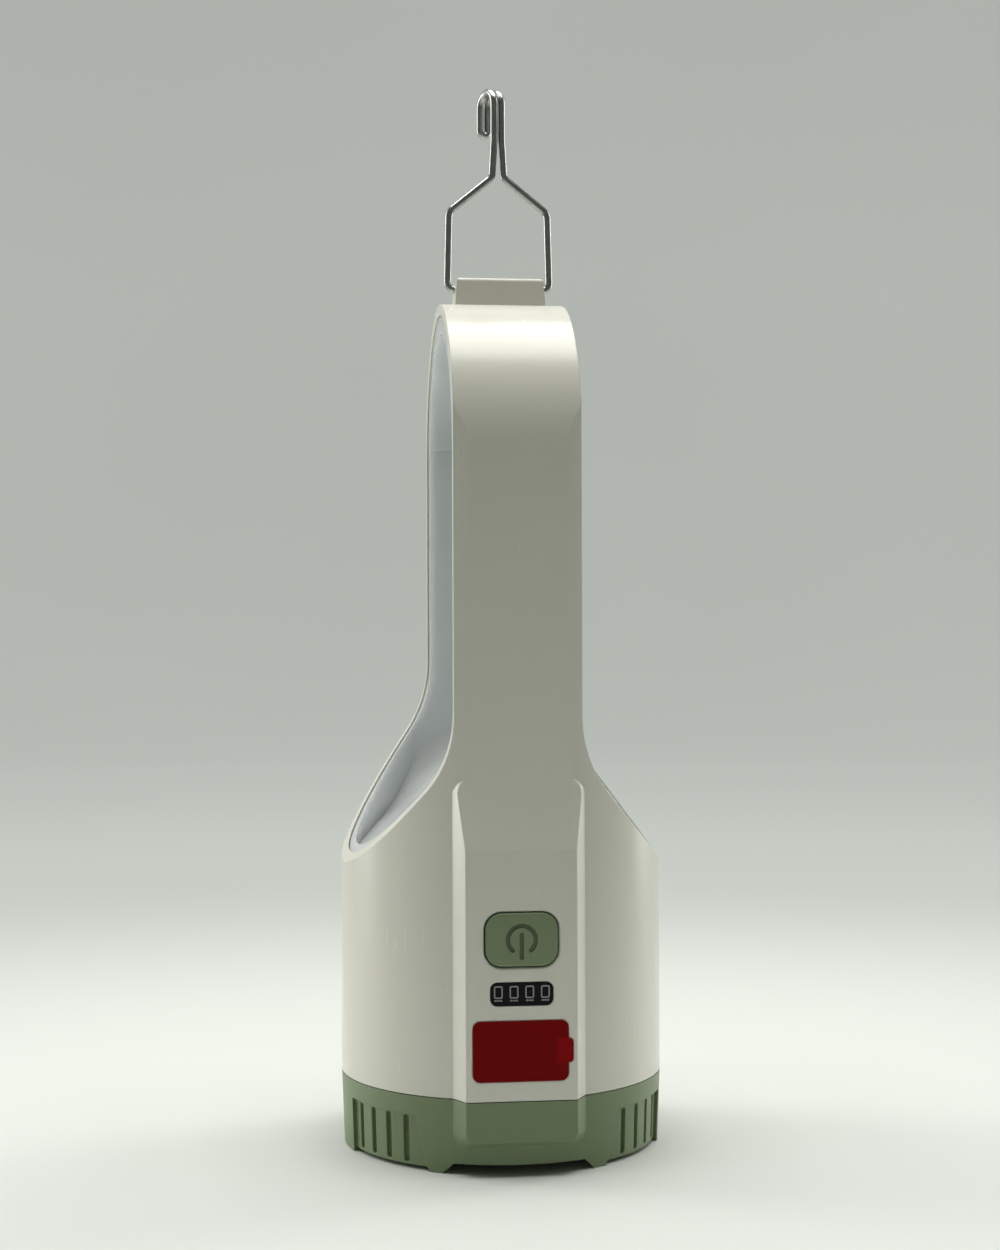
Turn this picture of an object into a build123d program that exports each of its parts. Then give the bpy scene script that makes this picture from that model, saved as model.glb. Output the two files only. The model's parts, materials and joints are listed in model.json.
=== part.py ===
"""Camping lantern with an arched carrying strap, a lit handle liner, a searchlight base and a wire hook.

Millimetres. The origin is on the lantern's axis, on the surface that it stands on: +Z is up and
the control panel faces -Y. Every piece is modelled where it sits in the assembled lantern.
"""
from build123d import *
from math import cos, pi, radians, sin, tan
import os

os.makedirs("parts", exist_ok=True)

# ---------------------------------------------------------------- driving sizes
# Housing
body_radius = 43.0           # round body, outside
strap_reach = 41.1           # flat front and rear of the strap, from the axis
strap_width = 32.8
arch_centre_z = 183.7        # centre of the half-round top
rear_lean = 1.16             # degrees: the rear face leans out below the arch, into the round body
front_step_top_z = 96.0      # behind the panel the front face steps out into the round body
front_step_bottom_z = 62.0
front_step_reach = 4.0
seam_z = 19.2                # where the housing meets the base
seam_gap = 0.25
wall = 2.0                   # round wall of the housing
strap_skin = 2.9             # outer band of the strap
flare_radius = 32.0          # hollow curve from the strap's edge to the shoulder
flare_top_z = 121.7
shoulder_slope = 52.7        # degrees below level
scoop_tilt = 9.3             # the side cut-outs rise towards the rear by this angle

# Handle liner
handle_depth = 8.0           # strap skin and liner together
liner_wall = 1.8
liner_gap = 0.2              # between the liner and the housing
liner_side_step = 0.4        # the liner's sides stand back from the strap's edges
crown_apex_z = 108.9         # where the two sloping floors would meet
floor_slope = 38.7           # degrees below level
crown_radius = 20.0
bend_radius = 9.0            # floor to wall

# Control panel on the front
panel_face_y = -44.6
panel_foot_width = 33.8
panel_bottom_z = 6.0
panel_top_z = 100.5
panel_crease_z = 82.0
panel_slope_top_z = 98.0
panel_taper = 28.8           # degrees
panel_corner = 5.0
panel_root_y = -39.5         # where the panel's side slopes start
panel_wall = 2.0
panel_pocket_width = 22.8
panel_pocket_bottom_z, panel_pocket_top_z = 25.0, 78.0

# Knuckle and hook
knuckle_width = 24.6
knuckle_top_width = 23.4
knuckle_depth = 9.4
knuckle_height = 7.2         # above the top of the arch
knuckle_round = 1.2
knuckle_root = 0.87          # its foot stands this far above the inside of the strap's skin
hook_pivot_drop = 2.8        # the hook turns this far below the knuckle's top
wire_radius = 1.0
pin_clearance = 0.05         # running fit of the wire ends and of the switch plunger
pin_depth = 4.0
hook_half_width = 13.9
hook_shoulder = (13.4, 21.2) # this height and the hook's others are above its pivot
hook_neck_rise = 30.7
hook_neck_half = 1.65
stem_half = 1.15             # half the spacing of the doubled wire
stem_straight_rise = 40.8
hook_top_rise = 55.5
hook_tip_rise = 42.8
throat_reach = 7.9           # stem centre to tip centre
hook_twist = 22.0            # the crook turns this far out of the square
bend_small = 2.2
bend_large = 3.2

# Power button
button_width, button_height, button_corner = 18.4, 13.4, 4.2
button_z = 59.6
button_gap = 0.3
button_flange = 1.4          # flange past the button's outline
button_flange_thickness = 1.0
button_face_y = -44.9
button_travel = 0.5
button_rim_chamfer = 0.4
icon_radius = 3.5
icon_line = 1.1
icon_depth = 0.4
icon_gap_angle = 82.0        # the ring is open at its foot
icon_bar, icon_drop = 6.8, 1.6
button_stem_radius = 2.5
button_edge_round = 0.5

# Charge indicator and battery badge
window_width, window_height, window_corner = 16.1, 6.1, 1.9
window_z = 46.0
window_depth = 0.6
guide_width, guide_height = 13.0, 3.6
badge_width, badge_height, badge_corner = 24.2, 15.2, 1.9
badge_x, badge_z = -0.3, 31.7
badge_nub_width, badge_nub_height, badge_nub_corner = 1.2, 6.0, 1.0
badge_recess = 0.4
badge_proud = 0.2
label_gap = 0.1              # between a label and its recess

# Base
base_bottom_radius = 42.3
base_bore_radius = 35.5
base_mouth_radius = 33.4
base_flare_radius = 35.0     # the mouth widens to this at the ground
base_lip = 1.2
spigot_height = 4.0
spigot_wall = 1.6
recess_depth = 1.0
recess_inner_angle = 34.8    # from the front, at half height
recess_outer_angle = 73.0
recess_slant = 2.2           # degrees each way, foot to top
recess_top_z = 14.2
edge_lift = 1.0              # the rim between the feet clears the ground by this
groove_angles = (42.3, 50.7, 59.1, 67.5)
groove_width = 1.9
groove_depth = 0.9
groove_bottom_z, groove_top_z = 1.6, 13.6
notch_half_width = 20.4
notch_height = 2.7
notch_run = 3.7              # each sloped end of the notch, along X

# Searchlight
lens_thickness = 2.0
lens_seat_z = 4.6
lens_gap = 0.3
gasket_thickness = 1.0
gasket_width = 2.2
reflector_wall = 1.2
reflector_throat = 5.6
reflector_top_z = 25.0
reflector_collar = 1.4
bowl_belly = (0.58, 0.72)    # the bowl's curve goes through this share of its radius and height
bowl_belly_slope = 56.0      # degrees: which way the bowl's outside faces there
emitter_board_radius = 10.0
emitter_board_thickness = 1.6
emitter_size = 7.0
emitter_height = 1.4
heat_plate_radius = 34.6
heat_plate_thickness = 2.5
shelf_thickness = 2.0
shelf_bore = 32.0

# Battery and boards
cell_diameter = 18.4
cell_length = 65.2
cell_pitch = 18.9
cell_gap = 0.1               # between a cell and its bracket, and between rows
bracket_floor = 1.2
bracket_rim = 1.0
bracket_length = 8.0
bracket_inset = 1.0          # the cells' ends stand out of the brackets by this
bracket_corner = 3.0
strip_thickness = 0.3
strip_width = 6.0
board_thickness = 1.6
main_board_y = -34.0         # the face that the parts sit on
main_board_width = 34.0
main_board_bottom_z, main_board_top_z = 31.5, 74.0
switch_size, switch_height = 6.0, 3.4
plunger_radius = 1.7
plunger_recess = 1.2
plunger_stand = 0.7
led_thickness = 0.8
indicator_led_size = 1.6
strip_led_length, strip_led_width = 3.5, 2.8
led_strip_width = 10.0
led_strip_thickness = 0.4
led_strip_gap = 0.1
led_seat_gap = 0.06
led_strip_end_z = 128.0
leg_led_count = 6            # on each straight leg
arch_led_count = 11          # round the top

# Charging socket on the rear
socket_z = 44.0
socket_width, socket_height, socket_depth = 9.0, 3.2, 7.3
socket_corner = 1.4
socket_wall = 0.3
socket_mouth_y = 39.6
tongue_width, tongue_thickness, tongue_setback = 6.6, 0.7, 1.0
port_slot_gap = 0.4
port_floor_y = 40.5
port_pad_width, port_pad_height, port_pad_depth = 22.0, 18.0, 2.0
cover_width, cover_height, cover_thickness = 15.6, 11.2, 1.3
cover_corner = 2.0
cover_gap = 0.4
cover_seat_gap = 0.3
hinge_round_margin = 0.02    # the hinge edge is rounded to just under half the cover's thickness
cover_rib_width, cover_rib_height, cover_rib_proud = 7.4, 1.0, 0.5
cover_rib_drop = 1.8         # from the cover's top edge to the middle of the rib
cover_plug_width, cover_plug_height, cover_plug_length = 7.4, 1.8, 1.8
charge_board_width, charge_board_depth = 24.0, 14.0
ledge_width, ledge_reach, ledge_thickness = 4.0, 8.0, 2.0

# Screws
shell_screw_x, shell_screw_z = 24.0, 77.0
boss_radius = 3.0
boss_split_y = 20.0          # where the front posts meet the rear bosses
boss_split_gap = 0.2
shell_screw_radius = 1.3
shell_screw_head_radius = 2.4
shell_screw_head_height = 1.8
shell_screw_seat_y = 28.0
shell_screw_length = 16.0
knuckle_screw_drop = 1.6     # below the hook's pivot
knuckle_screw_radius = 0.9
knuckle_screw_head_radius = 1.7
knuckle_screw_head_height = 1.0
knuckle_screw_seat_y = 2.2
knuckle_screw_length = 5.0
base_screw_angle = 15.0      # from the front and from the rear
base_screw_ring = 38.5
base_screw_radius = 1.45
base_screw_head_radius = 2.2
base_screw_head_height = 2.0
base_screw_seat_z = 6.0
base_screw_length = 20.0
screw_clearance = 0.2
board_screw_radius = 1.0
board_screw_head_radius = 1.9
board_screw_length = 6.0
board_screw_head_height = 1.3
board_post_radius = 2.2

# ---------------------------------------------------------------- worked out
front_angles = (base_screw_angle, -base_screw_angle)
rear_angles = (180 - base_screw_angle, 180 + base_screw_angle)
liner_reach = strap_reach - handle_depth          # inner faces of the handle opening
core_radius = body_radius - wall
core_reach = strap_reach - strap_skin
heat_plate_z = reflector_top_z + emitter_board_thickness
heat_plate_top_z = heat_plate_z + heat_plate_thickness
cell_z = heat_plate_top_z + bracket_floor + cell_gap + cell_diameter / 2
bracket_top_z = cell_z + 2 * (cell_diameter + cell_gap) - cell_diameter / 2 + bracket_floor + cell_gap
wire_bore = wire_radius + pin_clearance
panel_inner_y = panel_face_y + panel_wall
flange_front_y = panel_inner_y + button_gap
switch_front_y = main_board_y - switch_height
plunger_tip_y = switch_front_y - plunger_stand
board_back_y = main_board_y + board_thickness
cover_face_y = port_floor_y + cover_seat_gap + cover_thickness
charge_board_z = socket_z - socket_height / 2
knuckle_top_z = arch_centre_z + strap_reach + knuckle_height
hook_pivot_z = knuckle_top_z - hook_pivot_drop
hook_neck_z = hook_pivot_z + hook_neck_rise
stem_straight_z = hook_pivot_z + stem_straight_rise
hook_top_z = hook_pivot_z + hook_top_rise
hook_tip_z = hook_pivot_z + hook_tip_rise
knuckle_screw_z = hook_pivot_z - knuckle_screw_drop
tall = arch_centre_z + body_radius + 40
far = 3 * body_radius


def on_ring(radius, angle, z=0.0):
    """A point at an angle from the front (-Y), turning towards +X."""
    return (radius * sin(radians(angle)), -radius * cos(radians(angle)), z)


def show(part, name):
    part.label = name
    export_step(part, f"parts/{name}.step")
    print(f"{name:20s} {len(part.solids()):3d} solids {part.volume:10.1f} mm3")


# ---------------------------------------------------------------- shared volumes
def core_volume(radius, reach, z_low):
    """Round body that narrows into a flat-faced strap, which ends in a half-round top."""
    lean = radians(rear_lean)
    start = (reach * cos(lean), arch_centre_z + reach * sin(lean))
    foot = reach / cos(lean) + (arch_centre_z - z_low) * tan(lean)
    with BuildPart() as volume:
        with BuildSketch(Plane.YZ):
            with BuildLine():
                Polyline(
                    (-reach, arch_centre_z), (-reach, front_step_top_z),
                    (-reach - front_step_reach, front_step_bottom_z), (-reach - front_step_reach, z_low),
                    (foot, z_low), start,
                )
                ThreePointArc(start, (0, arch_centre_z + reach), (-reach, arch_centre_z))
            make_face()
        extrude(amount=far, both=True)
        with BuildSketch(Plane.XY.offset(z_low)):
            Circle(radius)
        extrude(amount=tall, mode=Mode.INTERSECT)
    return volume.part


def front_volume(inset, z_low):
    """Bottle outline seen from the front, carried through along the tilt of the side cut-outs."""
    half = strap_width / 2
    turn = radians(90 - shoulder_slope)
    centre_x = half + flare_radius
    reach = flare_radius + inset

    def flare(angle):
        return (centre_x - reach * cos(angle), flare_top_z - reach * sin(angle))

    start, middle, end = flare(0), flare(turn / 2), flare(turn)
    run = far * cos(radians(shoulder_slope))
    foot = (end[0] + run, end[1] - run * tan(radians(shoulder_slope)))
    with BuildPart() as volume:
        with BuildSketch(Plane.XZ):
            with BuildLine():
                ThreePointArc(start, middle, end)
                Polyline(end, foot, (foot[0], z_low - far), (0, z_low - far), (0, tall), (start[0], tall), start)
            make_face()
            mirror(about=Plane.YZ)
        extrude(amount=far, dir=(0, cos(radians(scoop_tilt)), sin(radians(scoop_tilt))), both=True)
    return volume.part


def opening_volume(grow):
    """Handle opening: a half-round tunnel over a saddle floor that falls away to both sides."""
    reach = liner_reach + grow
    slope = radians(floor_slope)
    apex_z = crown_apex_z - grow / cos(slope)
    with BuildPart() as volume:
        with BuildSketch(Plane.YZ):
            with BuildLine():
                Polyline((-reach, arch_centre_z), (-reach, flare_top_z), (reach, flare_top_z), (reach, arch_centre_z))
                ThreePointArc((reach, arch_centre_z), (0, arch_centre_z + reach), (-reach, arch_centre_z))
            make_face()
        extrude(amount=far, both=True)
        with BuildLine(Plane.XZ) as ridge:
            FilletPolyline(
                (-far, apex_z - far * tan(slope)), (0, apex_z), (far, apex_z - far * tan(slope)),
                radius=crown_radius - grow,
            )
        start = ridge.line @ 0
        with BuildSketch(Plane(origin=start, x_dir=(0, 1, 0), z_dir=ridge.line % 0)):
            with Locations((0, body_radius)):
                Rectangle(2 * reach, 2 * body_radius)
            fillet(vertices().group_by(Axis.Y)[0], bend_radius + grow)
        sweep(path=ridge.line)
        with BuildSketch(Plane.XY):
            Circle(core_radius - liner_gap - liner_wall + grow)
        extrude(amount=tall, mode=Mode.INTERSECT)
    return volume.part


def panel_volume():
    """Raised control panel: bevelled sides, a vertical face and a top that slopes back into the strap."""
    with BuildPart() as volume:
        with BuildSketch(Plane.XZ.offset(-panel_root_y)) as outline:
            with Locations((0, (panel_bottom_z + panel_top_z) / 2)):
                RectangleRounded(panel_foot_width, panel_top_z - panel_bottom_z, panel_corner)
        extrude(amount=panel_root_y - panel_face_y, taper=panel_taper)
        extrude(outline.sketch, amount=-wall)
        with BuildSketch(Plane.YZ):
            lean = (-strap_reach - panel_face_y) / (panel_slope_top_z - panel_crease_z)
            clear = panel_top_z + 5
            Polygon(
                (panel_face_y, panel_crease_z),
                (panel_face_y + lean * (clear - panel_crease_z), clear),
                (panel_face_y - 5, clear),
                (panel_face_y - 5, panel_crease_z),
                align=None,
            )
        extrude(amount=panel_foot_width, both=True, mode=Mode.SUBTRACT)
    return volume.part


def knuckle_volume():
    """Block on top of the arch that holds the two ends of the hook wire."""
    root_z = arch_centre_z + core_reach + knuckle_root
    with BuildPart() as volume:
        with BuildSketch(Plane.XZ):
            Polygon(
                (-knuckle_width / 2, root_z), (knuckle_width / 2, root_z),
                (knuckle_top_width / 2, knuckle_top_z), (-knuckle_top_width / 2, knuckle_top_z),
                align=None,
            )
        extrude(amount=knuckle_depth / 2, both=True)
        fillet(volume.faces().sort_by(Axis.Z)[-1].edges(), knuckle_round)
    return volume.part


def badge_outline(grow):
    """Battery sign: a round-cornered block with a small terminal on its right."""
    with BuildSketch() as outline:
        with Locations((badge_x, badge_z)):
            RectangleRounded(badge_width + 2 * grow, badge_height + 2 * grow, badge_corner + grow)
        with Locations((badge_x + badge_width / 2, badge_z)):
            RectangleRounded(2 * (badge_nub_width + grow), badge_nub_height + 2 * grow, badge_nub_corner)
    return outline.sketch


# ---------------------------------------------------------------- housing
boss_top_z = heat_plate_z + heat_plate_thickness + 1.0
spigot_top_z = seam_z + spigot_height
shell_screw_places = [(side * shell_screw_x, shell_screw_z) for side in (-1, 1)]
board_post_x = main_board_width / 2 - 3
board_post_heights = (main_board_bottom_z + 4, main_board_top_z - 4)
board_posts = [(side * board_post_x, z) for side in (-1, 1) for z in board_post_heights]
core = core_volume(core_radius, core_reach, seam_z - 1)
outer = core_volume(body_radius, strap_reach, seam_z)
silhouette = front_volume(0, seam_z)
panel = panel_volume()
knuckle = knuckle_volume()

with BuildPart() as upper_panel:
    add(panel)
    split(bisect_by=Plane.XY.offset(seam_z), keep=Keep.TOP)


with BuildPart() as shelf:
    with BuildSketch(Plane.XY.offset(heat_plate_z - shelf_thickness)):
        Circle(body_radius)
        Circle(shelf_bore, mode=Mode.SUBTRACT)
    extrude(amount=shelf_thickness)
    add(core_volume(body_radius - wall / 2, strap_reach - wall / 2, 0), mode=Mode.INTERSECT)


def shell_posts(y_from, y_to):
    """Two posts for the shell screws, trimmed to the inside of the housing."""
    with BuildPart() as posts:
        with BuildSketch(Plane.XZ.offset(-y_from)):
            with Locations(*shell_screw_places):
                Circle(boss_radius)
        extrude(amount=y_from - y_to)
        with BuildSketch(Plane.XY):
            Circle(body_radius - wall / 2)
        extrude(amount=tall, mode=Mode.INTERSECT)
    return posts.part


def base_screw_points():
    return Locations(*[on_ring(base_screw_ring, angle)[:2] for angle in front_angles + rear_angles])


def housing_half(side):
    """Outer skin, knuckle, heat plate shelf and screw bosses of one half; side is -1 front, +1 rear."""
    with BuildPart() as half:
        add(outer)
        add(silhouette, mode=Mode.INTERSECT)
        if side < 0:
            add(upper_panel.part)
        add(core, mode=Mode.SUBTRACT)
        add(knuckle)
        add(shelf.part)
        with BuildSketch(Plane.XY.offset(spigot_top_z + screw_clearance)):
            with base_screw_points():
                Circle(boss_radius)
        extrude(amount=boss_top_z - spigot_top_z - screw_clearance)
        with BuildSketch(Plane.XY.offset(spigot_top_z)):
            with base_screw_points():
                Circle(base_screw_radius)
        extrude(amount=boss_top_z - spigot_top_z + 1, mode=Mode.SUBTRACT)
        for end in (-1, 1):
            with BuildSketch(Plane.YZ.offset(end * knuckle_width)):
                with Locations((0, hook_pivot_z)):
                    Circle(wire_bore)
            extrude(amount=-end * (knuckle_width / 2 + pin_depth), mode=Mode.SUBTRACT)
        split(bisect_by=Plane.XZ, keep=Keep.TOP if side < 0 else Keep.BOTTOM)
    return half.part


front_posts = shell_posts(boss_split_y, -body_radius)
rear_posts = shell_posts(boss_split_y + boss_split_gap, body_radius)

with BuildPart() as front_shell:
    add(housing_half(-1))
    add(front_posts)
    # hollow behind the panel's face
    with BuildSketch(Plane.XZ.offset(-panel_inner_y)):
        with Locations((0, (panel_pocket_bottom_z + panel_pocket_top_z) / 2)):
            Rectangle(panel_pocket_width, panel_pocket_top_z - panel_pocket_bottom_z)
    extrude(amount=panel_inner_y - panel_root_y - wall, mode=Mode.SUBTRACT)
    # posts for the main board
    with BuildSketch(Plane.XZ.offset(-main_board_y)):
        with Locations(*board_posts):
            Circle(board_post_radius)
    extrude(amount=main_board_y + core_reach + wall / 2)
    with BuildSketch(Plane.XZ.offset(-main_board_y)):
        with Locations(*board_posts):
            Circle(board_screw_radius)
    extrude(amount=board_screw_length - board_thickness, mode=Mode.SUBTRACT)
    # pilot holes of the shell screws and of the knuckle screw
    with BuildSketch(Plane.XZ.offset(-boss_split_y)):
        with Locations(*shell_screw_places):
            Circle(shell_screw_radius)
    extrude(amount=boss_split_y + shell_screw_length - shell_screw_seat_y + 1, mode=Mode.SUBTRACT)
    with BuildSketch(Plane.XZ):
        with Locations((0, knuckle_screw_z)):
            Circle(knuckle_screw_radius)
    extrude(amount=knuckle_screw_length - knuckle_screw_seat_y + screw_clearance, mode=Mode.SUBTRACT)
    # button opening, with a softened rim
    with BuildSketch(Plane.XZ.offset(-panel_inner_y)):
        with Locations((0, button_z)):
            RectangleRounded(
                button_width + 2 * button_gap, button_height + 2 * button_gap, button_corner + button_gap)
    extrude(amount=panel_wall, mode=Mode.SUBTRACT)
    rim = front_shell.faces().filter_by(Plane.XZ).sort_by(Axis.Y)[0].inner_wires().edges()
    chamfer(rim, button_rim_chamfer)
    # recess and light slot of the charge indicator
    with BuildSketch(Plane.XZ.offset(-panel_face_y - window_depth)):
        with Locations((0, window_z)):
            RectangleRounded(window_width, window_height, window_corner)
    extrude(amount=window_depth, mode=Mode.SUBTRACT)
    with BuildSketch(Plane.XZ.offset(-panel_inner_y)):
        with Locations((0, window_z)):
            Rectangle(guide_width + 2 * label_gap, guide_height + 2 * label_gap)
    extrude(amount=panel_wall, mode=Mode.SUBTRACT)
    # recess of the battery badge
    with BuildSketch(Plane.XZ.offset(-panel_face_y - badge_recess)):
        add(badge_outline(label_gap))
    extrude(amount=badge_recess, mode=Mode.SUBTRACT)
show(front_shell.part, "front_shell")

ledge_y = port_floor_y - port_pad_depth - ledge_reach / 2 + wall / 2
rear_screws = (
    (shell_screw_places, shell_screw_radius, shell_screw_head_radius, shell_screw_seat_y),
    ([(0, knuckle_screw_z)], knuckle_screw_radius, knuckle_screw_head_radius, knuckle_screw_seat_y),
)
with BuildPart() as port_pad:
    with BuildSketch(Plane.XZ.offset(-(port_floor_y - port_pad_depth))):
        with Locations((0, socket_z)):
            RectangleRounded(port_pad_width, port_pad_height, cover_corner)
    extrude(amount=-wall - strap_skin)
    with BuildSketch(Plane.XY):
        Circle(body_radius - wall / 2)
    extrude(amount=tall, mode=Mode.INTERSECT)

with BuildPart() as rear_shell:
    add(housing_half(1))
    add(rear_posts)
    # each screw has a clearance hole and a bore for its head from outside
    for places, radius, head_radius, seat_y in rear_screws:
        with BuildSketch(Plane.XZ):
            with Locations(*places):
                Circle(radius + screw_clearance)
        extrude(amount=-seat_y, mode=Mode.SUBTRACT)
        with BuildSketch(Plane.XZ.offset(-seat_y)):
            with Locations(*places):
                Circle(head_radius + screw_clearance)
        extrude(amount=-body_radius, mode=Mode.SUBTRACT)
    # thick pad inside the wall, with the pocket of the port cover and the slot of the socket
    add(port_pad.part)
    with BuildSketch(Plane.XZ.offset(-port_floor_y)) as pocket_outline:
        with Locations((0, socket_z)):
            Rectangle(cover_width + 2 * cover_gap, cover_height + 2 * cover_gap)
        fillet(pocket_outline.vertices().group_by(Axis.Y)[-1], cover_corner + cover_gap)
    extrude(amount=-body_radius, mode=Mode.SUBTRACT)
    with BuildSketch(Plane.XZ.offset(-port_floor_y)):
        with Locations((0, socket_z)):
            RectangleRounded(
                socket_width + 2 * port_slot_gap, socket_height + 2 * port_slot_gap, socket_corner + port_slot_gap)
    extrude(amount=port_pad_depth + 1, mode=Mode.SUBTRACT)
    # two ledges under the charge board
    with BuildSketch(Plane.XY.offset(charge_board_z - board_thickness)):
        ledge_x = (charge_board_width - ledge_width) / 2
        with Locations((-ledge_x, ledge_y), (ledge_x, ledge_y)):
            Rectangle(ledge_width, ledge_reach)
    extrude(amount=-ledge_thickness)
show(rear_shell.part, "rear_shell")

# ---------------------------------------------------------------- handle liner and its lights
with BuildPart() as liner_hollow:
    add(core_volume(core_radius + wall, core_reach + wall, seam_z - 1))
    add(front_volume(liner_side_step + liner_wall, seam_z), mode=Mode.INTERSECT)
    add(opening_volume(liner_wall), mode=Mode.SUBTRACT)

with BuildPart() as handle_liner:
    add(core_volume(core_radius - liner_gap, core_reach - liner_gap, seam_z))
    add(front_volume(liner_side_step, seam_z), mode=Mode.INTERSECT)
    add(opening_volume(0), mode=Mode.SUBTRACT)
    add(liner_hollow.part, mode=Mode.SUBTRACT)
show(handle_liner.part, "handle_liner")

strip_outer = core_reach - led_strip_gap
strip_inner = strip_outer - led_strip_thickness
with BuildPart() as led_strip:
    add(core_volume(core_radius, strip_outer, seam_z))
    add(core_volume(body_radius, strip_inner, seam_z - 1), mode=Mode.SUBTRACT)
    with BuildSketch(Plane.XY.offset(led_strip_end_z)):
        Rectangle(led_strip_width, far)
    extrude(amount=tall, mode=Mode.INTERSECT)
show(led_strip.part, "led_strip")

leg_pitch = (arch_centre_z - led_strip_end_z) / leg_led_count
led_seat = strip_inner - led_seat_gap
strip_places = []
for side, lean in ((-1, 0.0), (1, radians(rear_lean))):
    for step in range(leg_led_count):
        drop = (step + 0.5) * leg_pitch
        seat = (0, side * (led_seat + drop * tan(lean)), arch_centre_z - drop)
        strip_places.append(Plane(seat, (1, 0, 0), (0, -side * cos(lean), -sin(lean))))
for step in range(arch_led_count):
    angle = pi * (step + 0.5) / arch_led_count
    seat = (0, led_seat * cos(angle), arch_centre_z + led_seat * sin(angle))
    strip_places.append(Plane(seat, (1, 0, 0), (0, -cos(angle), -sin(angle))))
with BuildPart() as strip_leds:
    with Locations(*[Location(place) for place in strip_places]):
        Box(strip_led_width, strip_led_length, led_thickness, align=(Align.CENTER, Align.CENTER, Align.MIN))
show(strip_leds.part, "strip_leds")

# ---------------------------------------------------------------- hook
twist = radians(hook_twist)
crook = (-sin(twist), cos(twist))                 # the way the crook leans, seen from above
pair = (cos(twist) * stem_half, sin(twist) * stem_half)
crook_radius = throat_reach / 2
crook_z = hook_top_z - wire_radius - crook_radius
turn_z = hook_tip_z + wire_radius + stem_half
pin_end = knuckle_width / 2 - pin_depth + screw_clearance
half_paths = []
for side in (-1, 1):
    stem = (side * pair[0], side * pair[1])
    with BuildLine() as half_path:
        lower = FilletPolyline(
            (side * pin_end, 0, hook_pivot_z),
            (side * hook_half_width, 0, hook_pivot_z),
            (side * hook_shoulder[0], 0, hook_pivot_z + hook_shoulder[1]),
            (side * hook_neck_half, side * pair[1] / 2, hook_neck_z),
            (*stem, stem_straight_z),
            (*stem, crook_z),
            radius=[bend_small, bend_large, bend_small, crook_radius],
        )
        over = ThreePointArc(
            (*stem, crook_z),
            (stem[0] + crook[0] * crook_radius, stem[1] + crook[1] * crook_radius, crook_z + crook_radius),
            (stem[0] + crook[0] * throat_reach, stem[1] + crook[1] * throat_reach, crook_z),
        )
        Line(over @ 1, (stem[0] + crook[0] * throat_reach, stem[1] + crook[1] * throat_reach, turn_z))
    half_paths.append(half_path.wire())
with BuildLine() as tip_turn:
    ThreePointArc(
        half_paths[0] @ 1,
        (crook[0] * throat_reach, crook[1] * throat_reach, turn_z - stem_half),
        half_paths[1] @ 1,
    )
wire_runs = [*half_paths, tip_turn.wire()]
with BuildPart() as hook_wire:
    for path in wire_runs:
        with BuildSketch(Plane(path @ 0, z_dir=path % 0)):
            Circle(wire_radius)
        sweep(path=path)
wire_length = sum(path.length for path in wire_runs)
print("hook wire", round(wire_length, 1), "mm, volume ratio",
      round(hook_wire.part.volume / (wire_length * pi * wire_radius ** 2), 4))
show(hook_wire.part, "hook_wire")

# ---------------------------------------------------------------- button, indicator and badge
icon_ring = CenterArc((0, 0), icon_radius, icon_gap_angle / 2 - 90, 360 - icon_gap_angle)
with BuildPart() as power_button:
    with BuildSketch(Plane.XZ.offset(-button_face_y)):
        with Locations((0, button_z)):
            RectangleRounded(button_width, button_height, button_corner)
    extrude(amount=button_face_y - flange_front_y)
    fillet(power_button.faces().sort_by(Axis.Y)[0].edges(), button_edge_round)
    with BuildSketch(Plane.XZ.offset(-flange_front_y)):
        with Locations((0, button_z)):
            RectangleRounded(button_width + 2 * button_flange, button_height + 2 * button_flange, button_corner)
    extrude(amount=-button_flange_thickness)
    with BuildSketch(Plane.XZ.offset(-flange_front_y)):
        with Locations((0, button_z)):
            Circle(button_stem_radius)
    extrude(amount=flange_front_y - plunger_tip_y)
    # engraved power sign: an open ring with a bar through the gap
    with BuildSketch(Plane.XZ.offset(-button_face_y)):
        with Locations((0, button_z)):
            SlotArc(icon_ring, icon_line)
        with Locations((0, button_z - icon_drop)):
            SlotOverall(icon_bar, icon_line, rotation=90)
    extrude(amount=-icon_depth, mode=Mode.SUBTRACT)
show(power_button.part, "power_button")

with BuildPart() as switch_plunger:
    with BuildSketch(Plane.XZ.offset(-plunger_tip_y)):
        with Locations((0, button_z)):
            Circle(plunger_radius)
    extrude(amount=plunger_tip_y - switch_front_y - plunger_recess)
show(switch_plunger.part, "switch_plunger")

with BuildPart() as tact_switch:
    with BuildSketch(Plane.XZ.offset(-main_board_y)):
        with Locations((0, button_z)):
            Rectangle(switch_size, switch_size)
    extrude(amount=switch_height)
    with BuildSketch(Plane.XZ.offset(-switch_front_y)):
        with Locations((0, button_z)):
            Circle(plunger_radius + pin_clearance)
    extrude(amount=-plunger_recess - button_travel - screw_clearance, mode=Mode.SUBTRACT)
show(tact_switch.part, "tact_switch")

with BuildPart() as indicator_window:
    with BuildSketch(Plane.XZ.offset(-panel_face_y - window_depth)):
        with Locations((0, window_z)):
            RectangleRounded(window_width - 2 * label_gap, window_height - 2 * label_gap, window_corner - label_gap)
    extrude(amount=window_depth)
show(indicator_window.part, "indicator_window")

led_front_y = main_board_y - led_thickness
with BuildPart() as light_guide:
    with BuildSketch(Plane.XZ.offset(-panel_face_y - window_depth)):
        with Locations((0, window_z)):
            Rectangle(guide_width, guide_height)
    extrude(amount=panel_face_y + window_depth - led_front_y + label_gap)
show(light_guide.part, "light_guide")

with BuildPart() as battery_badge:
    with BuildSketch(Plane.XZ.offset(-panel_face_y - badge_recess)):
        add(badge_outline(0))
    extrude(amount=badge_recess + badge_proud)
show(battery_badge.part, "battery_badge")

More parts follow.
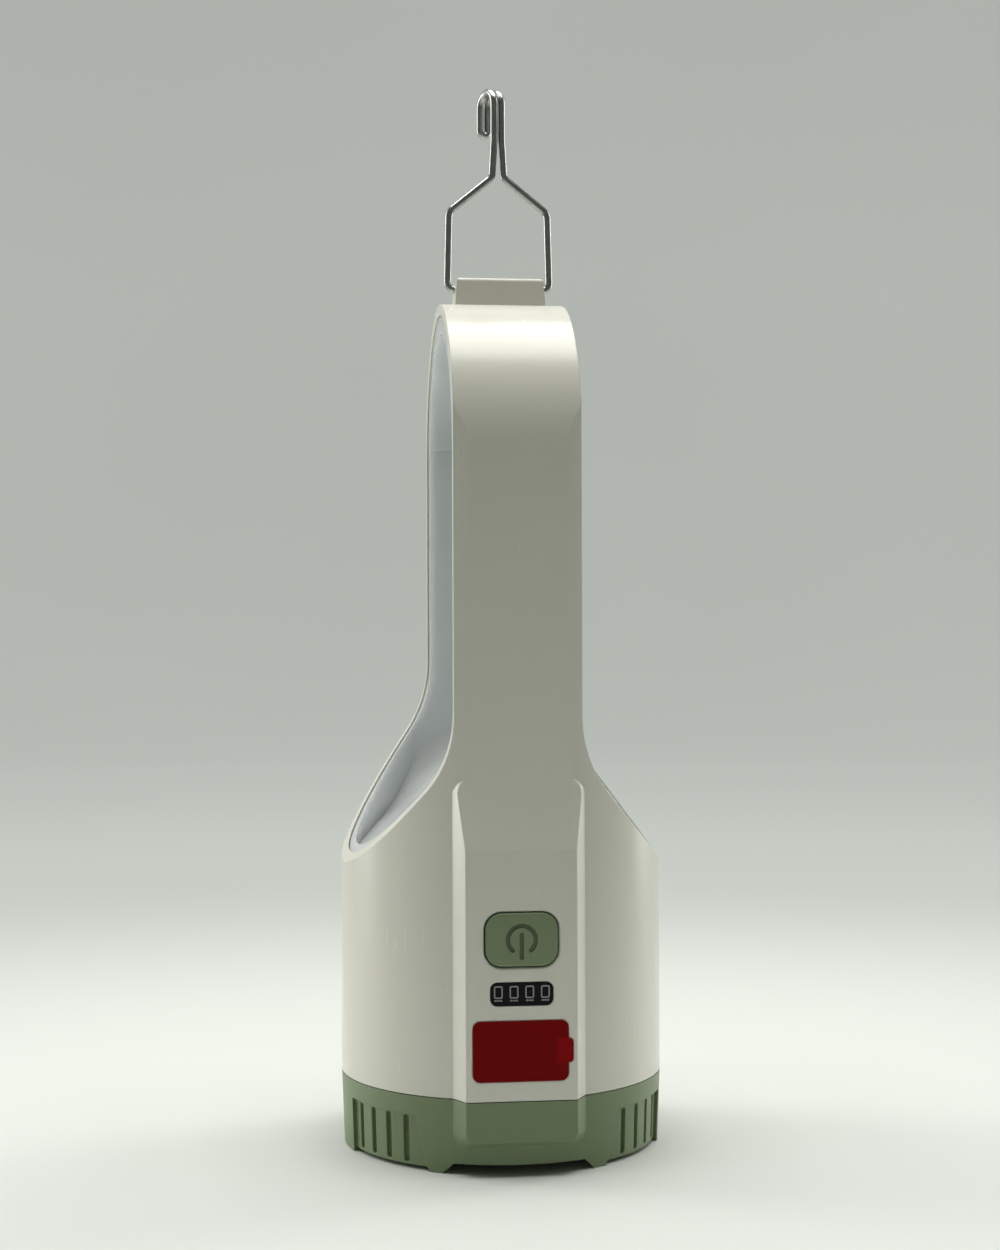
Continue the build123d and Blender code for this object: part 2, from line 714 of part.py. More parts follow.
with BuildPart() as main_board:
    with BuildSketch(Plane.XZ.offset(-main_board_y)):
        with Locations((0, (main_board_bottom_z + main_board_top_z) / 2)):
            Rectangle(main_board_width, main_board_top_z - main_board_bottom_z)
        with Locations(*board_posts):
            Circle(board_screw_radius + screw_clearance, mode=Mode.SUBTRACT)
    extrude(amount=-board_thickness)
show(main_board.part, "main_board")

with BuildPart() as indicator_leds:
    with BuildSketch(Plane.XZ.offset(-main_board_y)):
        with Locations((0, window_z)):
            with GridLocations(window_width / 4, 0, 4, 1):
                Rectangle(indicator_led_size, indicator_led_size)
    extrude(amount=led_thickness)
show(indicator_leds.part, "indicator_leds")

# ---------------------------------------------------------------- base and searchlight
def base_angle_block(inner, outer, height_range, slant=0.0):
    """Wedge that covers the rim between two angles from the front, with slanted ends."""
    low, high = height_range
    middle = (inner + outer) / 2
    half_chord = base_bottom_radius * sin(radians((outer - inner) / 2))
    lean = base_bottom_radius * sin(radians(slant))
    with BuildPart() as wedge:
        place = Plane(on_ring(base_bottom_radius, middle), x_dir=on_ring(1, middle + 90), z_dir=on_ring(1, middle))
        with BuildSketch(place):
            Polygon(
                (-half_chord - lean, low), (half_chord, low), (half_chord, high), (-half_chord + lean, high),
                align=None,
            )
        extrude(amount=body_radius / 2, both=True)
    return wedge.part


with BuildPart() as grip_recess:
    with BuildSketch(Plane.XZ):
        with BuildLine():
            floor = base_bottom_radius - recess_depth
            lean = (body_radius - base_bottom_radius) * recess_top_z / seam_z
            Polyline(
                (floor, -1), (floor + lean, recess_top_z), (body_radius + 1, recess_top_z), (body_radius + 1, -1),
                close=True)
        make_face()
    revolve(axis=Axis.Z)
    add(base_angle_block(recess_inner_angle, recess_outer_angle, (-1, recess_top_z), recess_slant),
        mode=Mode.INTERSECT)
    for angle in groove_angles:
        place = Plane(on_ring(base_bottom_radius - recess_depth - groove_depth, angle),
                      x_dir=on_ring(1, angle + 90), z_dir=on_ring(1, angle))
        with BuildSketch(place):
            with Locations((0, (groove_bottom_z + groove_top_z) / 2)):
                RectangleRounded(groove_width, groove_top_z - groove_bottom_z, groove_width / 2 - 0.1)
        extrude(amount=body_radius - base_bottom_radius + recess_depth + groove_depth)
    mirror(about=Plane.YZ)
    mirror(about=Plane.XZ)

with BuildPart() as rim_lift:
    add(base_angle_block(recess_inner_angle - recess_slant, recess_outer_angle, (-1, edge_lift)))
    mirror(about=Plane.YZ)
    mirror(about=Plane.XZ)

base_top_z = seam_z - seam_gap
with BuildPart() as lower_panel:
    add(panel)
    split(bisect_by=Plane.XY.offset(base_top_z), keep=Keep.BOTTOM)

with BuildPart() as base_ring:
    with BuildSketch(Plane.XZ):
        with BuildLine():
            spigot = core_radius - liner_gap
            Polyline(
                (base_flare_radius, 0), (base_bottom_radius, 0), (body_radius, base_top_z), (spigot, base_top_z),
                (spigot, spigot_top_z), (spigot - spigot_wall, spigot_top_z), (spigot - spigot_wall, base_top_z),
                (base_bore_radius, base_top_z), (base_bore_radius, lens_seat_z), (base_mouth_radius, lens_seat_z),
                (base_mouth_radius, lens_seat_z - base_lip), close=True)
        make_face()
    revolve(axis=Axis.Z)
    add(lower_panel.part)
    add(grip_recess.part, mode=Mode.SUBTRACT)
    add(rim_lift.part, mode=Mode.SUBTRACT)
    with BuildSketch(Plane.XZ):
        Polygon(
            (-notch_half_width, -1), (notch_half_width, -1),
            (notch_half_width - notch_run, notch_height), (-notch_half_width + notch_run, notch_height), align=None)
    extrude(amount=far, both=True, mode=Mode.SUBTRACT)
    with BuildSketch(Plane.XY.offset(-1)):
        with base_screw_points():
            Circle(base_screw_head_radius + screw_clearance)
    extrude(amount=base_screw_seat_z + 1, mode=Mode.SUBTRACT)
    with BuildSketch(Plane.XY):
        with base_screw_points():
            Circle(base_screw_radius + screw_clearance)
    extrude(amount=spigot_top_z + 1, mode=Mode.SUBTRACT)
show(base_ring.part, "base_ring")

with BuildPart() as lens:
    with BuildSketch(Plane.XY.offset(lens_seat_z)):
        Circle(base_bore_radius - lens_gap)
    extrude(amount=lens_thickness)
show(lens.part, "lens")

gasket_z = lens_seat_z + lens_thickness
with BuildPart() as lens_gasket:
    with BuildSketch(Plane.XY.offset(gasket_z)):
        Circle(base_bore_radius - lens_gap)
        Circle(base_bore_radius - lens_gap - gasket_width, mode=Mode.SUBTRACT)
    extrude(amount=gasket_thickness)
show(lens_gasket.part, "lens_gasket")

flange_z = gasket_z + gasket_thickness
rim_radius = base_bore_radius - lens_gap
bowl_radius = rim_radius - gasket_width
collar_z = reflector_top_z - reflector_collar
with BuildPart() as reflector:
    with BuildSketch(Plane.XZ):
        with BuildLine():
            middle = (bowl_radius * bowl_belly[0], flange_z + (collar_z - flange_z) * bowl_belly[1])
            facing = radians(bowl_belly_slope)
            outside = (middle[0] + reflector_wall * cos(facing), middle[1] + reflector_wall * sin(facing))
            bowl_foot = (bowl_radius, flange_z)
            bowl_top = (reflector_throat, collar_z)
            ThreePointArc(bowl_foot, middle, bowl_top)
            outer_top = (reflector_throat + 2 * reflector_wall, collar_z + reflector_wall)
            outer_foot = (bowl_radius + reflector_wall, flange_z + reflector_wall)
            Polyline(
                bowl_top, (reflector_throat, reflector_top_z), (outer_top[0], reflector_top_z), outer_top)
            ThreePointArc(outer_top, outside, outer_foot)
            Polyline(outer_foot, (rim_radius, outer_foot[1]), (rim_radius, flange_z), bowl_foot)
        make_face()
    revolve(axis=Axis.Z)
show(reflector.part, "reflector")

with BuildPart() as emitter_board:
    with BuildSketch(Plane.XY.offset(reflector_top_z)):
        Circle(emitter_board_radius)
    extrude(amount=emitter_board_thickness)
show(emitter_board.part, "emitter_board")

with BuildPart() as emitter:
    with BuildSketch(Plane.XY.offset(reflector_top_z - emitter_height)):
        Rectangle(emitter_size, emitter_size)
    extrude(amount=emitter_height)
show(emitter.part, "emitter")

with BuildPart() as heat_plate:
    with BuildSketch(Plane.XY.offset(heat_plate_z)):
        Circle(heat_plate_radius)
    extrude(amount=heat_plate_thickness)
show(heat_plate.part, "heat_plate")

# ---------------------------------------------------------------- battery
cell_rows = (cell_z, cell_z + cell_diameter + cell_gap)
cell_places = [(side * cell_pitch / 2, z) for z in cell_rows for side in (-1, 1)]
for number, place in enumerate(cell_places, start=1):
    with BuildPart() as cell:
        with BuildSketch(Plane.YZ):
            with Locations(place):
                Circle(cell_diameter / 2)
        extrude(amount=cell_length / 2, both=True)
    show(cell.part, f"battery_cell_{number}")

bracket_half_y = cell_pitch / 2 + cell_diameter / 2 + bracket_rim
for side, name in ((-1, "left"), (1, "right")):
    with BuildPart() as bracket:
        with BuildSketch(Plane.YZ.offset(side * (cell_length / 2 - bracket_inset))):
            with Locations((0, (bracket_top_z + heat_plate_top_z) / 2)):
                RectangleRounded(2 * bracket_half_y, bracket_top_z - heat_plate_top_z, bracket_corner)
            with Locations(*cell_places):
                Circle(cell_diameter / 2 + cell_gap, mode=Mode.SUBTRACT)
        extrude(amount=-side * bracket_length)
    show(bracket.part, f"cell_bracket_{name}")

with BuildPart() as nickel_strips:
    for side in (-1, 1):
        with BuildSketch(Plane.YZ.offset(side * cell_length / 2)):
            with Locations((0, (cell_rows[0] + cell_rows[1]) / 2)):
                Rectangle(cell_pitch + strip_width, cell_diameter + strip_width)
                Rectangle(cell_pitch - strip_width, cell_diameter - strip_width, mode=Mode.SUBTRACT)
        extrude(amount=side * strip_thickness)
show(nickel_strips.part, "nickel_strips")

# ---------------------------------------------------------------- charging port
with BuildPart() as charge_board:
    with BuildSketch(Plane.XY.offset(charge_board_z)):
        with Locations((0, port_floor_y - port_pad_depth - cover_gap - charge_board_depth / 2)):
            Rectangle(charge_board_width, charge_board_depth)
    extrude(amount=-board_thickness)
show(charge_board.part, "charge_board")

with BuildPart() as usb_socket:
    with BuildSketch(Plane.XZ.offset(-socket_mouth_y)):
        with Locations((0, socket_z)):
            RectangleRounded(socket_width, socket_height, socket_corner)
    extrude(amount=socket_depth)
    with BuildSketch(Plane.XZ.offset(-socket_mouth_y)):
        with Locations((0, socket_z)):
            RectangleRounded(
                socket_width - 2 * socket_wall, socket_height - 2 * socket_wall, socket_corner - socket_wall)
    extrude(amount=socket_depth - 1, mode=Mode.SUBTRACT)
    with BuildSketch(Plane.XZ.offset(-socket_mouth_y + tongue_setback)):
        with Locations((0, socket_z)):
            Rectangle(tongue_width, tongue_thickness)
    extrude(amount=socket_depth - tongue_setback)
show(usb_socket.part, "usb_socket")

with BuildPart() as port_cover:
    with BuildSketch(Plane.XZ.offset(-(cover_face_y - cover_thickness))) as cover_outline:
        with Locations((0, socket_z)):
            Rectangle(cover_width, cover_height)
        fillet(cover_outline.vertices().group_by(Axis.Y)[-1], cover_corner)
    extrude(amount=-cover_thickness)
    hinge_edges = port_cover.edges().filter_by(Axis.X).group_by(Axis.Z)[0]
    fillet(hinge_edges, cover_thickness / 2 - hinge_round_margin)
    with BuildSketch(Plane.XZ.offset(-(cover_face_y - cover_thickness))):
        with Locations((0, socket_z)):
            SlotOverall(cover_plug_width, cover_plug_height)
    extrude(amount=cover_plug_length)
    with BuildSketch(Plane.XZ.offset(-cover_face_y)):
        with Locations((0, socket_z + cover_height / 2 - cover_rib_drop)):
            SlotOverall(cover_rib_width, cover_rib_height)
    extrude(amount=-cover_rib_proud)
show(port_cover.part, "port_cover")

# ---------------------------------------------------------------- screws
def rear_screw(places, radius, length, head_radius, head_height, seat_y):
    """Screws driven from the rear, one at each place (x, z)."""
    with BuildPart() as screws:
        with BuildSketch(Plane.XZ.offset(-seat_y)):
            with Locations(*places):
                Circle(radius)
        extrude(amount=length)
        with BuildSketch(Plane.XZ.offset(-seat_y)):
            with Locations(*places):
                Circle(head_radius)
        extrude(amount=-head_height)
    return screws.part


show(rear_screw(shell_screw_places, shell_screw_radius, shell_screw_length,
                shell_screw_head_radius, shell_screw_head_height, shell_screw_seat_y), "shell_screws")
show(rear_screw([(0, knuckle_screw_z)], knuckle_screw_radius, knuckle_screw_length,
                knuckle_screw_head_radius, knuckle_screw_head_height, knuckle_screw_seat_y), "knuckle_screw")
show(rear_screw(board_posts, board_screw_radius, board_screw_length - label_gap,
                board_screw_head_radius, board_screw_head_height, board_back_y), "board_screws")

with BuildPart() as base_screws:
    with BuildSketch(Plane.XY.offset(base_screw_seat_z)):
        with base_screw_points():
            Circle(base_screw_radius)
    extrude(amount=base_screw_length)
    with BuildSketch(Plane.XY.offset(base_screw_seat_z)):
        with base_screw_points():
            Circle(base_screw_head_radius)
    extrude(amount=-base_screw_head_height)
show(base_screws.part, "base_screws")
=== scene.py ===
# %% [markdown]
# # A camping lantern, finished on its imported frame
# The lantern is a round housing that narrows into a tall carrying arch. A grey diffuser lines
# the arch, a green ring with grip slots is its base, and a bent wire hook swings on top.
# The frame holds every piece at its real size, so this lesson is about finishes: how smooth
# moulded plastic, a green moulded ring, steel wire and a searchlight are made from nodes.

# %% Load the frame
import json
from math import cos, pi, radians, sin

import bmesh
import bpy
import numpy as np
from mathutils import Matrix, Vector


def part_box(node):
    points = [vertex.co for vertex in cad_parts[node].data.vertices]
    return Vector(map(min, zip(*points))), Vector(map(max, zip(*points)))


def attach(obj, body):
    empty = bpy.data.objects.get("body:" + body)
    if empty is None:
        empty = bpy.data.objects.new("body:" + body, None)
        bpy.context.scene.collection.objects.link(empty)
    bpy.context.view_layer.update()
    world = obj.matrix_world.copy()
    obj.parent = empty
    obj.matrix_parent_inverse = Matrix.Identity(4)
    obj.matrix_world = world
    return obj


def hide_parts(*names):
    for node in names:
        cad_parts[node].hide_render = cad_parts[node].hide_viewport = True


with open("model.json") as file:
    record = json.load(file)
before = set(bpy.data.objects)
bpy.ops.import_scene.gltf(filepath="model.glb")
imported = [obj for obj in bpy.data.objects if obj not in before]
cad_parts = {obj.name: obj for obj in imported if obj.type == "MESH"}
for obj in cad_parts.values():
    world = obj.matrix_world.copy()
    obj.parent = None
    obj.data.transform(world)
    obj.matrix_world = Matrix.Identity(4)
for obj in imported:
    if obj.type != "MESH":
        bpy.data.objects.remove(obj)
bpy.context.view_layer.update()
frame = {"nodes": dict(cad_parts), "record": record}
nodes = frame["nodes"]

# %% [markdown]
# ## Surfaces with soft shading
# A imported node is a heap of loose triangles, so light breaks at each of them. Its shape is
# right, and only its shading has to change. The mesh could be remeshed, but that would soften
# the sharp slots. Here each visible node gets a twin whose coincident points are merged, shaded
# smooth except where two faces meet at a clear angle, so round walls read as round.

# %% A smooth twin of a node
CREASE = radians(24)            # a clear fold between any two faces
SLIGHT = radians(7)             # a fold between two broad flat faces
BROAD = 12e-6                   # square metres
SAME_POINT = 2e-6               # metres between points that are one
SLIVER = 1e-6                   # an edge shorter than this is removed


def folded(edge):
    """True where two faces meet at the crease angle, or two broad ones at the slight angle."""
    if len(edge.link_faces) != 2:
        return True
    angle = edge.calc_face_angle(0.0)
    broad = min(face.calc_area() for face in edge.link_faces) > BROAD
    return angle > CREASE or (broad and angle > SLIGHT)


def smooth_twin(node, body):
    """The node's own triangles with coincident points merged, smooth except along folds. The
    shape and the place stay those of the node."""
    mesh = nodes[node].data.copy()
    twin = bpy.data.objects.new(node + "_surface", mesh)
    bpy.context.scene.collection.objects.link(twin)
    b = bmesh.new()
    b.from_mesh(mesh)
    bmesh.ops.remove_doubles(b, verts=b.verts, dist=SAME_POINT)
    bmesh.ops.dissolve_degenerate(b, edges=b.edges, dist=SLIVER)
    for face in b.faces:
        face.smooth = True
    for edge in b.edges:
        edge.smooth = not folded(edge)
    b.to_mesh(mesh)
    b.free()
    if "custom_normal" in mesh.attributes:
        mesh.attributes.remove(mesh.attributes["custom_normal"])
    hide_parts(node)
    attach(twin, body)
    return twin


record = frame["record"]
bodies = {node: body for body, group in record["behaviour"]["bodies"].items() for node in group}
SHOWN = ["front_shell", "rear_shell", "handle_liner", "base_ring", "hook_wire", "power_button",
         "indicator_window", "battery_badge", "lens", "lens_gasket", "reflector", "port_cover",
         "usb_socket", "knuckle_screw", "shell_screws", "base_screws"]
surface = {}
for name in SHOWN:
    surface[name] = smooth_twin(name, bodies[name])
print("twins", len(surface), "faces", sum(len(o.data.polygons) for o in surface.values()))

# %% [markdown]
# ## Effects as node groups
# Wear, grain and dust appear on several pieces, so each is one shader group with named
# sockets, built once and tuned where it is placed. A group gives out colours, masks, values
# and normals, and the shader itself stays in the material.

# %% Helpers for groups and materials
def new_group(name, inputs, outputs):
    """An empty shader group. inputs are (name, kind, default) and outputs (name, kind)."""
    group = bpy.data.node_groups.new(name, "ShaderNodeTree")
    for label, kind, default in inputs:
        socket = group.interface.new_socket(label, in_out="INPUT", socket_type="NodeSocket" + kind)
        if default is not None:
            socket.default_value = default
    for label, kind in outputs:
        group.interface.new_socket(label, in_out="OUTPUT", socket_type="NodeSocket" + kind)
    entry = group.nodes.new("NodeGroupInput")
    leave = group.nodes.new("NodeGroupOutput")
    return group, entry, leave


def put(tree, kind, settings=None, **inputs):
    """A node of that kind. settings are its properties. An input is a value or another socket,
    and an underscore in its name stands for a space."""
    node = tree.nodes.new("ShaderNode" + kind)
    for key, value in (settings or {}).items():
        setattr(node, key, value)
    for key, value in inputs.items():
        wire(tree, value, node.inputs[int(key[1:]) if key[0] == "_" else key.replace("_", " ")])
    return node


def wire(tree, value, socket):
    if isinstance(value, bpy.types.NodeSocket):
        tree.links.new(value, socket)
    else:
        socket.default_value = value


def maths(tree, operation, a, b=0.0, clamp=False):
    return put(tree, "Math", {"operation": operation, "use_clamp": clamp}, _0=a, _1=b).outputs[0]


def blend_colours(tree, amount, a, b, how="MIX"):
    node = put(tree, "Mix", {"data_type": "RGBA", "blend_type": how}, _0=amount)
    wire(tree, a, node.inputs[6])
    wire(tree, b, node.inputs[7])
    return node.outputs[2]


def spread(tree, value, low, high, start=0.0, end=1.0):
    """value between low and high becomes start to end, held flat outside."""
    return put(tree, "MapRange", None, Value=value, From_Min=low, From_Max=high,
               To_Min=start, To_Max=end).outputs[0]


# %% [markdown]
# A moulded edge is never knife sharp: the mould's corner is rounded by a few tenths of a
# millimetre, and that round catches a thin bright line. Bevelling thousands of small faces is
# slow and fragile, so the round is made in the normal: rays sample the faces near each point
# and their mean is used. Where that mean differs from the true normal there is an edge, which
# gives an edge mask for nothing. The plastics use it to paint a lighter line along their edges,
# a painted highlight that also stands for a little wear; the metals use it for wear.

# %% Group: rounded edges
edges_group, entry, leave = new_group(
    "Rounded edges", [("Radius", "Float", 0.0003)], [("Normal", "Vector"), ("Edge", "Float")])
soft = put(edges_group, "Bevel", {"samples": 4}, Radius=entry.outputs["Radius"])
true = put(edges_group, "NewGeometry")
agree = put(edges_group, "VectorMath", {"operation": "DOT_PRODUCT"},
            _0=soft.outputs[0], _1=true.outputs["Normal"])
mask = spread(edges_group, agree.outputs["Value"], 0.995, 0.80)
edges_group.links.new(soft.outputs[0], leave.inputs["Normal"])
edges_group.links.new(mask, leave.inputs["Edge"])
print("group", edges_group.name)

# %% [markdown]
# Moulded plastic looks flat if its colour and gloss are constant. The real skin has a very
# fine spark texture or a slight orange peel, colour that drifts by a percent or two, and gloss
# that changes in broad patches where the mould was cooler.

# %% Group: moulded skin
DRIFT_SCALE, PATCH_SCALE, PEEL_SCALE = 22.0, 90.0, 420.0        # noise cells per metre
skin_group, entry, leave = new_group(
    "Moulded skin",
    [("Colour", "Color", (0.8, 0.8, 0.8, 1)), ("Drift", "Float", 0.05),
     ("Roughness", "Float", 0.3), ("Roughness drift", "Float", 0.08),
     ("Grain per metre", "Float", 2500.0),
     ("Grain depth", "Float", 0.00001), ("Peel depth", "Float", 0.0), ("Normal", "Vector", None)],
    [("Colour", "Color"), ("Roughness", "Float"), ("Normal", "Vector")])
place = put(skin_group, "TexCoord").outputs["Object"]
broad = put(skin_group, "TexNoise", None, Vector=place, Scale=DRIFT_SCALE,
            Detail=3.0).outputs[0]
patch = put(skin_group, "TexNoise", None, Vector=place, Scale=PATCH_SCALE,
            Detail=4.0).outputs[0]
grain = put(skin_group, "TexNoise", None, Vector=place, Scale=entry.outputs["Grain per metre"],
            Detail=2.0, Roughness=0.6).outputs[0]
peel = put(skin_group, "TexNoise", None, Vector=place, Scale=PEEL_SCALE,
           Detail=1.0).outputs[0]
drift = maths(skin_group, "MULTIPLY", maths(skin_group, "SUBTRACT", broad, 0.5),
              entry.outputs["Drift"])
tone = maths(skin_group, "ADD", drift, 1.0)
tinted = put(skin_group, "VectorMath", {"operation": "SCALE"}, _0=entry.outputs["Colour"],
             Scale=tone)
gloss = maths(skin_group, "ADD", entry.outputs["Roughness"],
              maths(skin_group, "MULTIPLY", maths(skin_group, "SUBTRACT", patch, 0.5),
                    entry.outputs["Roughness drift"]), clamp=True)
height = maths(skin_group, "ADD",
               maths(skin_group, "MULTIPLY", grain, entry.outputs["Grain depth"]),
               maths(skin_group, "MULTIPLY", peel, entry.outputs["Peel depth"]))
bumped = put(skin_group, "Bump", None, Strength=1.0, Distance=1.0, Height=height,
             Normal=entry.outputs["Normal"]).outputs[0]
skin_group.links.new(tinted.outputs[0], leave.inputs["Colour"])
skin_group.links.new(gloss, leave.inputs["Roughness"])
skin_group.links.new(bumped, leave.inputs["Normal"])
print("group", skin_group.name)

# %% [markdown]
# Handling leaves faint marks: dust settles on faces that look up, a few dark specks are
# caught in light plastic, and short scuffs cross it. All three are masks, so each material
# decides what they do to its colour and gloss.

# %% Group: handling marks
DUST_SCALE, SPECK_SCALE, SCUFF_SCALE, WHERE_SCALE = 260.0, 210.0, 900.0, 60.0
SPECK_SIZE = 0.055              # of a cell
marks_group, entry, leave = new_group(
    "Handling marks",
    [("Dust", "Float", 0.3), ("Specks", "Float", 0.5), ("Scuffs", "Float", 0.5)],
    [("Dust", "Float"), ("Specks", "Float"), ("Scuffs", "Float")])
place = put(marks_group, "TexCoord").outputs["Object"]
up = put(marks_group, "SeparateXYZ", None,
         Vector=put(marks_group, "NewGeometry").outputs["Normal"]).outputs["Z"]
cloud = put(marks_group, "TexNoise", None, Vector=place, Scale=DUST_SCALE,
            Detail=5.0).outputs[0]
dust = maths(marks_group, "MULTIPLY", spread(marks_group, up, 0.2, 1.0),
             spread(marks_group, cloud, 0.42, 0.75))
cells = put(marks_group, "TexVoronoi", {"feature": "F1"}, Vector=place,
            Scale=SPECK_SCALE)
size = put(marks_group, "SeparateColor", None, Color=cells.outputs["Color"]).outputs[0]
limit = maths(marks_group, "MULTIPLY", spread(marks_group, size, 0.90, 1.0), SPECK_SIZE)
speck = maths(marks_group, "LESS_THAN", cells.outputs["Distance"], limit)
turned = put(marks_group, "Mapping", None, Vector=place, Rotation=(0.4, 0.9, 0.3),
             Scale=(1.0, 1.0, 0.09))
lines = put(marks_group, "TexNoise", None, Vector=turned.outputs[0], Scale=SCUFF_SCALE,
            Detail=2.0).outputs[0]
where = put(marks_group, "TexNoise", None, Vector=place, Scale=WHERE_SCALE,
            Detail=1.0).outputs[0]
scuff = maths(marks_group, "MULTIPLY", spread(marks_group, lines, 0.66, 0.74),
              spread(marks_group, where, 0.56, 0.66))
for label, value in (("Dust", dust), ("Specks", speck), ("Scuffs", scuff)):
    marks_group.links.new(maths(marks_group, "MULTIPLY", value, entry.outputs[label]),
                          leave.inputs[label])
print("group", marks_group.name)

# %% [markdown]
# Metal that was drawn, turned or rolled carries fine parallel lines. They are noise squeezed
# along one direction, so the same group makes the length of a wire, the spun bowl or a
# rolled plate by turning and stretching its coordinates.

# %% Group: tool lines
STAIN_SCALE, GLOSS_RANGE = 300.0, 0.25
lines_group, entry, leave = new_group(
    "Tool lines",
    [("Stretch", "Vector", (1.0, 1.0, 0.02)), ("Lines per metre", "Float", 6000.0),
     ("Depth", "Float", 0.000004), ("Roughness", "Float", 0.25), ("Normal", "Vector", None)],
    [("Roughness", "Float"), ("Normal", "Vector"), ("Tarnish", "Float")])
place = put(lines_group, "TexCoord").outputs["Object"]
pulled = put(lines_group, "VectorMath", {"operation": "MULTIPLY"}, _0=place,
             _1=entry.outputs["Stretch"]).outputs[0]
streak = put(lines_group, "TexNoise", None, Vector=pulled,
             Scale=entry.outputs["Lines per metre"], Detail=3.0).outputs[0]
stain = put(lines_group, "TexNoise", None, Vector=place, Scale=STAIN_SCALE,
            Detail=5.0).outputs[0]
rough = maths(lines_group, "ADD", entry.outputs["Roughness"],
              maths(lines_group, "MULTIPLY", maths(lines_group, "SUBTRACT", streak, 0.5),
                    GLOSS_RANGE), clamp=True)
cut = put(lines_group, "Bump", None, Strength=1.0, Distance=1.0,
          Height=maths(lines_group, "MULTIPLY", streak, entry.outputs["Depth"]),
          Normal=entry.outputs["Normal"]).outputs[0]
lines_group.links.new(rough, leave.inputs["Roughness"])
lines_group.links.new(cut, leave.inputs["Normal"])
lines_group.links.new(spread(lines_group, stain, 0.55, 0.75), leave.inputs["Tarnish"])
print("group", lines_group.name)

# %% [markdown]
# ## Starting a material
# Every finish begins as one Principled shader, and its groups are placed beside it. A helper
# then hands the finish to a node and to its smooth twin together, so the two never differ.

# %% A material to start from
def start_material(name, **constants):
    """A material with one Principled shader. constants are plain values on its sockets."""
    material = bpy.data.materials.new(name)
    material.use_nodes = True
    tree = material.node_tree
    shader = tree.nodes["Principled BSDF"]
    for key, value in constants.items():
        shader.inputs[key.replace("_", " ")].default_value = value
    return material, tree, shader


def place_group(tree, group, **inputs):
    """The group as a node of this material, with its own values on the named sockets."""
    node = tree.nodes.new("ShaderNodeGroup")
    node.node_tree = group
    for key, value in inputs.items():
        wire(tree, value, node.inputs[key.replace("_", " ")])
    return node


def dress(material, *names):
    """Give every named node, and its twin if it has one, this material."""
    for name in names:
        for piece in (nodes[name], surface.get(name)):
            if piece is not None:
                piece.data.materials.clear()
                piece.data.materials.append(material)


# %% [markdown]
# ## Plastic pieces
# One recipe serves every moulded piece: rounded edges feed the skin, the skin feeds the
# shader, and the handling marks lighten, darken or dull it. The colours are the pieces' own.

# %% The moulded plastic recipe
DUST_COLOUR = (0.62, 0.60, 0.55, 1.0)
SPECK_COLOUR = (0.16, 0.14, 0.12, 1.0)


def moulded(name, colour, roughness=0.3, drift=0.05, gloss_drift=0.08, grain=2500.0,
            depth=0.000004, peel=0.0, radius=0.0004, edge_highlight_and_wear_tint=(0.9, 0.9, 0.86), edge=0.25,
            dust=0.2, specks=0.0, scuffs=0.3, **constants):
    """Colour = skin colour, mixed to the edge tint by the edge mask, a painted highlight along the
    edges that also stands for a little wear, then to pale dust, then to dark specks. Roughness
    rises with dust and scuffs."""
    material, tree, shader = start_material(name, **constants)
    soft = place_group(tree, edges_group, Radius=radius)
    skin = place_group(tree, skin_group, Colour=(*colour, 1.0), Drift=drift, Roughness=roughness,
                       Roughness_drift=gloss_drift, Grain_per_metre=grain, Grain_depth=depth,
                       Peel_depth=peel, Normal=soft.outputs["Normal"])
    marks = place_group(tree, marks_group, Dust=dust, Specks=specks, Scuffs=scuffs)
    # Painted highlight, partly wear: the edge mask mixes the colour towards the lighter edge tint.
    lighter_edges = blend_colours(tree, maths(tree, "MULTIPLY", soft.outputs["Edge"], edge),
                         skin.outputs["Colour"], (*edge_highlight_and_wear_tint, 1.0))
    dusty = blend_colours(tree, maths(tree, "MULTIPLY", marks.outputs["Dust"], 0.5), lighter_edges,
                          DUST_COLOUR)
    final = blend_colours(tree, marks.outputs["Specks"], dusty, SPECK_COLOUR)
    rough = maths(tree, "ADD", skin.outputs["Roughness"],
                  maths(tree, "ADD", maths(tree, "MULTIPLY", marks.outputs["Dust"], 0.3),
                        maths(tree, "MULTIPLY", marks.outputs["Scuffs"], 0.25)), clamp=True)
    tree.links.new(final, shader.inputs["Base Color"])
    tree.links.new(rough, shader.inputs["Roughness"])
    tree.links.new(skin.outputs["Normal"], shader.inputs["Normal"])
    return material, tree, shader, final


# %% Finishes of the plastic pieces
# Each edge tint is lighter than its piece's colour, so the edge mask paints a highlight along the
# edges, partly wear.
HOUSING = (0.75, 0.735, 0.655)
SAGE = (0.185, 0.245, 0.125)
SAGE_EDGE_HIGHLIGHT_AND_WEAR = (0.36, 0.42, 0.28)
housing_white, _, _, _ = moulded("Housing white", HOUSING, roughness=0.24, drift=0.04,
                                 grain=3200.0, depth=0.0000012, peel=0.000006,
                                 edge_highlight_and_wear_tint=(0.93, 0.93, 0.88), edge=0.5, dust=0.15,
                                 specks=0.35, scuffs=0.5)
dress(housing_white, "front_shell", "rear_shell")
sage_base, _, _, _ = moulded("Sage green", SAGE, roughness=0.42, drift=0.12, grain=2600.0,
                             depth=0.000012, edge_highlight_and_wear_tint=SAGE_EDGE_HIGHLIGHT_AND_WEAR, edge=0.45, dust=0.35,
                             specks=0.0, scuffs=0.5)
dress(sage_base, "base_ring")
